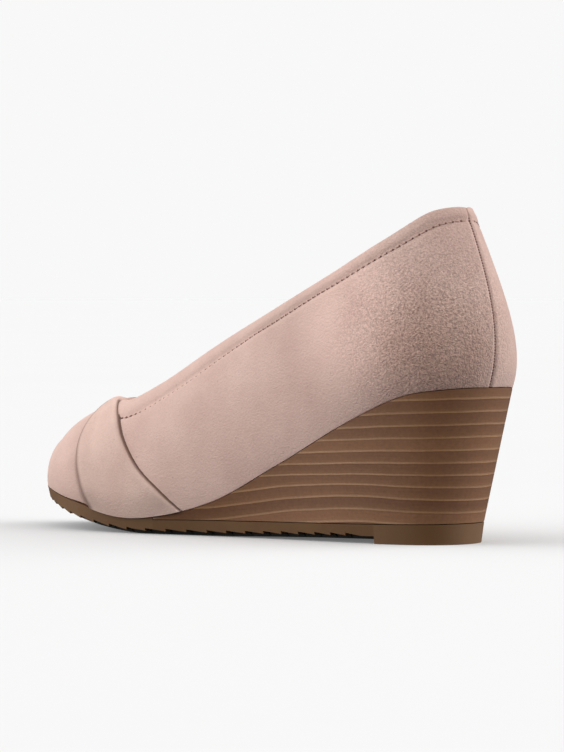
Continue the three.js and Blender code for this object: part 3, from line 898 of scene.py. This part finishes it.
sole_mesh = laid(len(SOLE_STATIONS) - 1, 10, sole_at, plain_chart)
# The rows from a tooth's inner end round the underside are the tread, apart from the heel pad: a near-black
# that is partly dark rubber and partly painted shade under the overhanging edge.
chart_layer = sole_mesh.loops.layers.uv["chart"]
pad_share = np.searchsorted(SOLE_STATIONS, PAD_END) / (len(SOLE_STATIONS) - 1)
for face in sole_mesh.faces:
    middle = sum((loop[chart_layer].uv for loop in face.loops), Vector((0, 0))) / len(face.loops)
    if 0.4 < middle.y < 0.7 and middle.x > pad_share:
        face.material_index = 1
sole = finished("sole_unit", closed(sole_mesh), RUBBER, 30)
sole.data.materials.append(TREAD)
roll_edges(sole, 0.2, 40)
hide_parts("outsole")

# Camera, light and floor

camera = bpy.data.objects.new("camera", bpy.data.cameras.new("camera"))
camera.data.lens = 196.2
camera.data.sensor_width = 36.0
camera.data.clip_start = 0.1
camera.data.clip_end = 900
CAMERA_PLACE = np.array([-987.1, 1131.5, 90.6])
CAMERA_AIM = np.array([117.5, -12.1, 60.5])
camera.location = ORIGIN + CAMERA_PLACE * MM
aim = Vector(ORIGIN + CAMERA_AIM * MM)
camera.rotation_euler = (aim - camera.location).to_track_quat("-Z", "Y").to_euler()
bpy.context.scene.collection.objects.link(camera)
bpy.context.scene.camera = camera
bpy.context.scene.view_settings.view_transform = "Standard"


# Where the soft boxes hang: over the shoe and at the picture's left and right. The camera's side stays dim.
TOP_BOX = 1.08
SIDE_BOXES = 3.2
ALL_ROUND = 0.02
FROM_BELOW = 0.05
# The level that the camera sees behind the shoe, and the floor's own glow, which lifts it to that level
SEEN_LEVEL = 0.939
FLOOR_GLOW = 0.13


def studio():
    """Soft light from wide boxes over a level near white background"""
    world = bpy.data.worlds.new("studio")
    world.use_nodes = True
    tree = world.node_tree
    way = add(tree, "TexCoord", {}).outputs["Generated"]
    picture_right = (CAMERA_AIM - CAMERA_PLACE)[[1, 0, 2]] * (1, -1, 0)
    turned = add(tree, "VectorMath", {0: way, 1: unit(picture_right)}, operation="DOT_PRODUCT")
    aside = add(tree, "Math", {0: turned.outputs["Value"]}, operation="ABSOLUTE").outputs[0]
    high = add(tree, "SeparateXYZ", {0: way}).outputs[2]
    sides = add(
        tree, "MapRange", {0: aside, 1: 0.4, 2: 0.95, 4: SIDE_BOXES}, interpolation_type="SMOOTHSTEP"
    ).outputs[0]
    top = add(
        tree, "MapRange", {0: high, 1: 0.3, 2: 0.95, 4: TOP_BOX}, interpolation_type="SMOOTHSTEP"
    ).outputs[0]
    boxes = add(tree, "Math", {0: sides, 1: top}, operation="ADD").outputs[0]
    filled = add(tree, "Math", {0: boxes, 1: ALL_ROUND}, operation="ADD").outputs[0]
    rising = {0: high, 1: -0.12, 2: 0.12, 3: FROM_BELOW, 4: filled}
    strength = add(tree, "MapRange", rising, interpolation_type="SMOOTHSTEP").outputs[0]
    lit = tree.nodes["Background"]
    lit.inputs[0].default_value = (1, 1, 1, 1)
    tree.links.new(strength, lit.inputs[1])
    seen = add(tree, "Background", {0: (1, 1, 1, 1), 1: SEEN_LEVEL})
    direct = add(tree, "LightPath", {}).outputs["Is Camera Ray"]
    both = add(tree, "MixShader", {0: direct, 1: lit.outputs[0], 2: seen.outputs[0]})
    tree.links.new(both.outputs[0], tree.nodes["World Output"].inputs[0])
    bpy.context.scene.world = world


studio()


def floor():
    """Plain seamless paper: the eye gets a level near white"""
    material, tree, shader, place = surface("studio_paper", Roughness=0.95)
    shader.inputs["Specular IOR Level"].default_value = 0.0
    shader.inputs["Emission Color"].default_value = (1, 1, 1, 1)
    shader.inputs["Emission Strength"].default_value = FLOOR_GLOW
    cloud = add(tree, "TexNoise", {"Vector": place, "Scale": 2.0}).outputs[0]
    tone = add(tree, "Mix", {0: cloud, 6: linear("cacaca"), 7: linear("cccccc")}, data_type="RGBA")
    tree.links.new(tone.outputs[2], shader.inputs["Base Color"])
    bm = bmesh.new()
    bmesh.ops.create_circle(bm, cap_ends=True, segments=96, radius=400.0)
    mesh = bpy.data.meshes.new("floor")
    bm.to_mesh(mesh)
    bm.free()
    obj = bpy.data.objects.new("floor", mesh)
    obj.data.materials.append(material)
    obj.visible_diffuse = obj.visible_glossy = obj.visible_shadow = False
    bpy.context.scene.collection.objects.link(obj)


floor()
